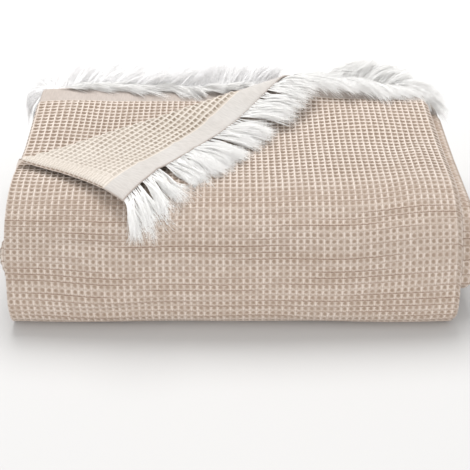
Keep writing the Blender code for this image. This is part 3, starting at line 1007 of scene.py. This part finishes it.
def lock_fibres(lock, end, fibres, points, ground, rng):
    """Lines of one lock's fibres: its threads lie round its middle, and their fibres fray."""
    start, stop, right, back, up, droop, length, threads = lock
    half = (stop - start) / 2 * MM
    middle = start * MM + half
    length = length * MM
    base, ahead = end_frame(np.array([middle]), end)
    aim = unit(np.array([right, back, up]))
    centre = lock_middle(base[0], ahead[0], aim, droop, length, points, rng)
    if ground:
        centre = lift_over(centre, ground, LOCK_CLEARANCE)
    tangent = unit(np.gradient(centre, axis=0))
    side = unit(np.cross(tangent, (0, 0, 1)))
    above = np.cross(side, tangent)
    # each thread has a place in the lock, and bends and ends in its own way
    place = (np.arange(threads) + 0.5) / threads * 2 - 1 + rng.normal(0, 0.08, threads)
    place = np.clip(place, -1, 1)
    bases, _ = end_frame(middle + place * half, end)
    facing = unit(bases[-1] - bases[0]) @ side[-1]
    if facing < 0:
        place = -place
    wide = half * max(0.6, abs(facing)) * rng.uniform(0.95, 1.15)
    depth = rng.uniform(-1, 1, threads) * np.sqrt(1 - 0.7 * place**2)
    reach = rng.uniform(0.78, 1.06, threads)
    lean = rng.normal(0, 0.09, threads)
    bend = rng.normal(0, 0.10, threads)
    wave = rng.uniform(0, 2 * np.pi, (threads, 2))
    rate = rng.uniform(4, 9, threads)
    # and each fibre has a place in its thread
    own = np.repeat(np.arange(threads), fibres)
    threads_own = (place, depth, reach, lean, bend, rate)
    place, depth, reach, lean, bend, rate = (values[own, None] for values in threads_own)
    wave = wave[own]
    shares = np.linspace(0, 1, points)
    share = shares * (reach * rng.uniform(0.80, 1.08, (len(own), 1)))
    fibre_beside, fibre_over = frayed(share, length, rng)
    profile = 1 - 0.22 * smooth(share / 0.5) + 0.26 * smooth((share - 0.5) / 0.5)
    beside = place * wide * profile + (lean * share + bend * share**2) * length
    beside = beside + 0.8 * MM * np.sin(wave[:, :1] + rate * share) * share + fibre_beside
    over = depth * LOCK_THICK * (0.35 + 0.75 * smooth(share / 0.4)) + fibre_over
    over = over + 0.6 * MM * np.sin(wave[:, 1:] + rate * share) * share
    lines, sides, overs = (
        np.stack([np.interp(share, shares, line[:, k]) for k in range(3)], axis=-1)
        for line in (centre, side, above)
    )
    lines = lines + tangent[-1] * (np.clip(share - 1, 0, None) * length)[..., None]
    freed = smooth(share / 0.30)[..., None]
    lines = lines + (bases - base[0])[own, None, :] * (1 - freed)
    lines = lines + sides * beside[..., None] * freed + overs * (over[..., None] * (0.25 + 0.75 * freed))
    lines[:, 0] -= ahead[0] * ROOT_DEPTH
    return lines


def lock_strands(locks, end, seed, fibres, points, ground):
    """Lines of all fibres, kept within reach at the sides and clear of the cloth they rest on."""
    rng = np.random.default_rng(seed)
    lines = np.concatenate([lock_fibres(lock, end, fibres, points, ground, rng) for lock in locks])
    beyond = np.clip(np.abs(lines[..., 0]) - SIDE_REACH, 0, None)
    lines[..., 0] -= np.sign(lines[..., 0]) * (beyond - SIDE_SOFT * (1 - np.exp(-beyond / SIDE_SOFT)))
    if ground:
        lines = lift_over(lines.reshape(-1, 3), ground, STRAND_CLEARANCE).reshape(lines.shape)
    return lines


def lift_over(points, ground, clearance):
    """Moves points out of the top layer, to the side its face is on."""
    moved = points.copy()
    for k, point in enumerate(points):
        hit, normal, _, _ = ground.find_nearest(Vector(point), REST_WITHIN)
        if hit is None:
            continue
        if (Vector(point) - hit).dot(normal) < clearance:
            moved[k] = hit + normal * clearance
    return moved


TAPER_AT = (0, 0.15, 0.7, 1.0)
TAPER = (0.9, 1.0, 0.85, 0.15)  # share of a fibre's radius there


def strand_mesh(name, lines, seed, thin, thick, material):
    """Joined tubes with few sides along the lines, thin at the tip."""
    rng = np.random.default_rng(seed)
    count, steps, _ = lines.shape
    radii = rng.uniform(thin, thick, count) * MM
    tangent = unit(np.gradient(lines, axis=1))
    helper = np.where(np.abs(tangent[..., 2:3]) > 0.9, np.array([1.0, 0, 0]), np.array([0, 0, 1.0]))
    side = unit(np.cross(tangent, helper))
    up = np.cross(side, tangent)
    taper = np.interp(np.linspace(0, 1, steps), TAPER_AT, TAPER)
    rings = []
    for corner in range(STRAND_SIDES):
        angle = 2 * np.pi * corner / STRAND_SIDES
        offset = (side * math.cos(angle) + up * math.sin(angle)) * (radii[:, None] * taper)[..., None]
        rings.append(lines + offset)
    points = np.stack(rings, axis=2).reshape(-1, 3)
    index = np.arange(count * steps * STRAND_SIDES).reshape(count, steps, STRAND_SIDES)
    quads = []
    for corner in range(STRAND_SIDES):
        n = (corner + 1) % STRAND_SIDES
        strip = (index[:, :-1, corner], index[:, :-1, n], index[:, 1:, n], index[:, 1:, corner])
        quads.append(np.stack(strip, axis=-1).reshape(-1, 4))
    quads = np.concatenate(quads)
    mesh = bpy.data.meshes.new(name)
    mesh.from_pydata(points.tolist(), [], quads.tolist())
    mesh.polygons.foreach_set("use_smooth", [True] * len(quads))
    mesh.materials.append(material)
    return add_object(name, mesh)


# Both yarns glow a little as painted light, so the white fringes stay bright in their own shade; the yarn of
# the left locks glows most.
white_yarn = yarn_material("fringe_yarn", colour(247, 246, 244), 0.045)
glowing_yarn = yarn_material("fringe_yarn_glowing", colour(243, 242, 242), 0.17)
FRINGES = (
    # name, node, locks, end, fibres of a thread, points of a line, radii in mm, yarn, on cloth
    ("fringe_flap_front", "fringe_upper", FLAP_LOCKS[:8], 0.0, 26, 7, (0.12, 0.22), white_yarn, True),
    ("fringe_flap_back", "fringe_upper", FLAP_LOCKS[8:], 0.0, 22, 7, (0.12, 0.22), white_yarn, True),
    ("fringe_right", "fringe_upper", RIGHT_LOCKS, 0.0, 14, 6, (0.16, 0.28), white_yarn, True),
    ("fringe_forward", "fringe_upper", FORWARD_LOCKS, 0.0, 14, 6, (0.15, 0.26), white_yarn, True),
    ("fringe_left", "fringe_upper", LEFT_LOCKS, 0.0, 12, 6, (0.18, 0.30), glowing_yarn, False),
    ("fringe_low_left", "fringe_upper", LOW_LEFT_LOCKS, 0.0, 12, 6, (0.16, 0.28), white_yarn, True),
    ("fringe_inner", "fringe_upper", repeated(INNER_LOCKS), 0.0, 4, 5, (0.3, 0.5), white_yarn, False),
    ("fringe_lower_end", "fringe_lower", repeated(LOWER_LOCKS), LENGTH, 4, 5, (0.3, 0.5), white_yarn, False),
)
STRAND_SEED = 20
MESH_SEED = 40
for number, (name, node, locks, end, fibres, points, radii, yarn, on_cloth) in enumerate(FRINGES):
    lines = lock_strands(locks, end, STRAND_SEED + number, fibres, points, ground if on_cloth else None)
    piece = strand_mesh(name, lines, MESH_SEED + number, *radii, yarn)
    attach(piece, "root")
    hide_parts(node)

# ---- floor, light and camera -----------------------------------------

FLOOR_SIZE = 14.0
FLOOR_TONE = (0.61, 0.605, 0.60, 1.0)
WORLD_LIGHT = 0.80

bpy.ops.mesh.primitive_plane_add(size=FLOOR_SIZE, location=(0, 0, 0))
floor = bpy.context.object
floor.name = "floor"
floor_nodes = Nodes("floor_white")
floor_nodes.surface({"Base Color": FLOOR_TONE, "Roughness": ROUGHNESS, "Specular IOR Level": 0.0})
floor.data.materials.append(floor_nodes.material)

world = bpy.data.worlds.new("studio")
bpy.context.scene.world = world
world.use_nodes = True
world.node_tree.nodes["Background"].inputs["Color"].default_value = (1.0, 1.0, 1.0, 1.0)
world.node_tree.nodes["Background"].inputs["Strength"].default_value = WORLD_LIGHT


def area_light(name, place, target, size, watts):
    light = bpy.data.lights.new(name, "AREA")
    light.shape = "DISK"
    light.size = size
    light.energy = watts
    obj = add_object(name, light)
    obj.location = place
    obj.rotation_mode = "QUATERNION"
    obj.rotation_quaternion = (Vector(target) - Vector(place)).to_track_quat("-Z", "Y")


area_light("key_back_left", place=(-0.16, 0.95, 1.82), target=(0, 0, 0.05), size=1.2, watts=41)
area_light("fill_front", place=(0.1, -2.4, 0.26), target=(0, 0, 0.10), size=1.2, watts=37)
bpy.context.scene.view_settings.view_transform = "Standard"

FOCAL_PX = 846.0  # the photo's focal length and width in pixels
IMAGE_PX = 470.0
SENSOR = 36.0
CAMERA_PLACE = (-5.0 * MM, -770.0 * MM, 547.5 * MM)
CAMERA_DOWN = 35.63  # degrees below level

camera_data = bpy.data.cameras.new("camera")
camera_data.sensor_width = SENSOR
camera_data.lens = FOCAL_PX / IMAGE_PX * SENSOR
camera = add_object("camera", camera_data)
camera.location = CAMERA_PLACE
camera.rotation_euler = (math.radians(90 - CAMERA_DOWN), 0, 0)
bpy.context.scene.camera = camera
